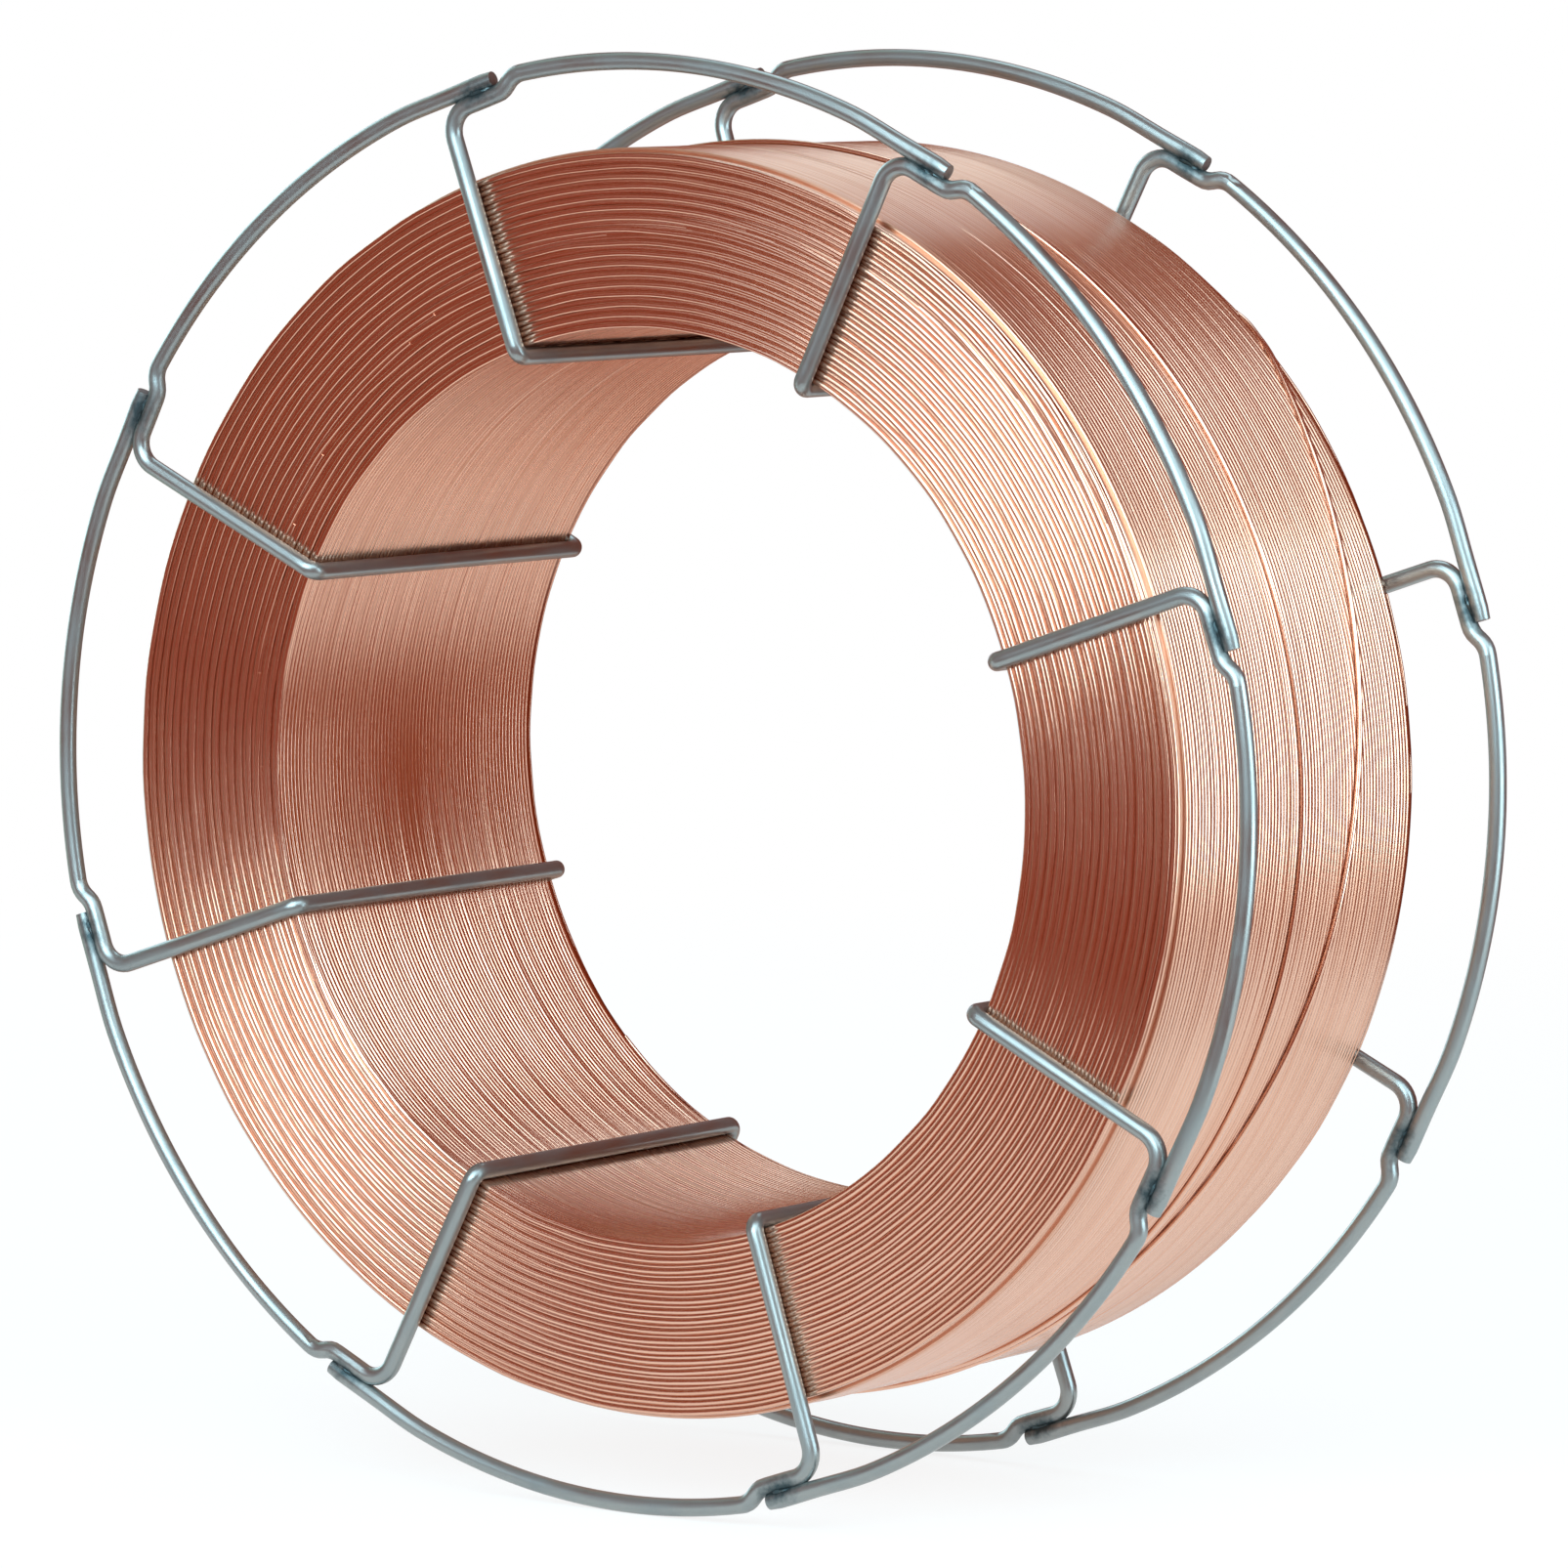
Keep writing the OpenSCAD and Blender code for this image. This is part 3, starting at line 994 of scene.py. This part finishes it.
def make_camera(scene, settings):
    """The camera, upright, which looks at a point beside the spool's centre."""
    back = bearing(math.degrees(settings.camera_azimuth), math.degrees(settings.camera_elevation))
    right = Vector((0, 0, 1)).cross(back).normalized()
    up = back.cross(right)
    aim = settings.aim_right * right + settings.aim_up * up
    lens = bpy.data.cameras.new("camera")
    lens.lens = settings.lens
    # Past the corners of the floor
    lens.clip_end = 100
    camera = bpy.data.objects.new("camera", lens)
    camera.matrix_world = facing_matrix(aim + settings.camera_distance * back, aim)
    scene.collection.objects.link(camera)
    scene.camera = camera


def make_world(scene, settings):
    """Light from all round, which looks white where seen directly."""
    world = bpy.data.worlds.new("studio")
    world.use_nodes = True
    world.node_tree.nodes.clear()
    nodes = Signal(world.node_tree)
    room = nodes.node("ShaderNodeBackground", {"Color": WHITE, "Strength": settings.room})
    white = nodes.node("ShaderNodeBackground", {"Color": WHITE, "Strength": 1.0})
    mixed = nodes.node("ShaderNodeMixShader", {0: seen_directly(nodes), 1: room, 2: white})
    mixed.show("ShaderNodeOutputWorld")
    scene.world = world


def make_floor():
    """The square that the spool stands on."""
    corners = np.array([(-1, -1), (1, -1), (1, 1), (-1, 1)]) * FLOOR_SIZE / 2
    points = np.column_stack([corners, np.full(4, CAD_LOW.z)])
    stage_mesh("floor", points, np.array([[0, 1, 2, 3]]), floor_material())


def hang_lamps(settings):
    """The softboxes: azimuth and elevation in degrees, then width, height and brightness."""
    high_part, left_part = 0.52, 0.22
    softbox("low_key_softbox", 7, 20, 1.4, 0.77, settings.key)
    softbox("high_key_softbox", 7, 44, 1.03, 0.83, settings.key * high_part)
    softbox("left_key_softbox", -22, 10, 0.45, 0.63, settings.key * left_part)
    softbox("high_softbox", 52, 40, 1.1, 1.1, settings.high)
    softbox("side_softbox", 90, 9, 0.36, 0.5, settings.side, distance=0.65)
    softbox("top_rear_softbox", -150, 62, 0.9, 0.85, settings.rear)
    softbox("low_rear_softbox", -112, 15, 1.1, 1.1, settings.rear)


def hang_cloths(settings):
    """The cloths: azimuths in degrees, then how far from the middle each starts."""
    names = ("dark_cloth", "grey_cloth", "painted_shadow_cloth")
    dark, grey, shade = (cloth_material(name, getattr(settings, name)) for name in names)
    dome_cloth("front_cloth", (-45, 75), 0.28, dark)
    dome_cloth("right_cloth", (75, 120), 1.06, dark)
    dome_cloth("right_rear_cloth", (120, 180), 0.41, dark)
    dome_cloth("left_rear_cloth", (-180, -120), 0.41, dark)
    dome_cloth("left_cloth", (-120, -75), 0.41, grey)
    dome_cloth("left_front_cloth", (-75, -45), 1.06, dark)
    # A painted shadow, not a cloth: a glowing patch on the floor to the left and behind, seen only in
    # reflections, that stands in for the spool's shadow there, tinted by a painted reflection of the
    # copper
    draped("painted_shadow_cloth", (-180, -90), np.array((0.12, 0.41)), np.full(2, CLOTH_Z), shade)


class SPOOL_OT_stage(Operator):
    """Makes the floor, the lights and the camera"""

    bl_idname = "spool.stage"
    bl_label = "Stage"

    def execute(self, context):
        scene = context.scene
        scene.view_settings.view_transform = "Standard"
        make_camera(scene, scene.spool_stage)
        make_world(scene, scene.spool_stage)
        make_floor()
        hang_lamps(scene.spool_stage)
        hang_cloths(scene.spool_stage)
        return {"FINISHED"}


# ---- The add-on ----

SETTINGS = {"spool_winding": WindingSettings, "spool_basket": BasketSettings, "spool_stage": StageSettings}
MAKERS = (SPOOL_OT_stage, SPOOL_OT_outer_turns, SPOOL_OT_bore_turns, SPOOL_OT_end_turns,
          SPOOL_OT_free_end, SPOOL_OT_basket)


class SPOOL_PT_panel(Panel):
    """Lists the steps that make the spool, and its settings"""

    bl_idname = "SPOOL_PT_panel"
    bl_label = "Welding wire spool"
    bl_space_type = "VIEW_3D"
    bl_region_type = "UI"
    bl_category = "Wire spool"

    def draw(self, context):
        for maker in MAKERS:
            self.layout.operator(maker.bl_idname)
        for group, kind in SETTINGS.items():
            box = self.layout.box()
            for name in kind.__annotations__:
                box.prop(getattr(context.scene, group), name)


CLASSES = (*SETTINGS.values(), *MAKERS, SPOOL_PT_panel)


def register():
    for cls in CLASSES:
        bpy.utils.register_class(cls)
    for group, kind in SETTINGS.items():
        setattr(bpy.types.Scene, group, PointerProperty(type=kind))


def unregister():
    for group in SETTINGS:
        delattr(bpy.types.Scene, group)
    for cls in reversed(CLASSES):
        bpy.utils.unregister_class(cls)


def main():
    register()
    bpy.ops.spool.stage()
    bpy.ops.spool.outer_turns()
    bpy.ops.spool.bore_turns()
    bpy.ops.spool.end_turns()
    bpy.ops.spool.free_end()
    bpy.ops.spool.basket()


if __name__ == "__main__":
    main()
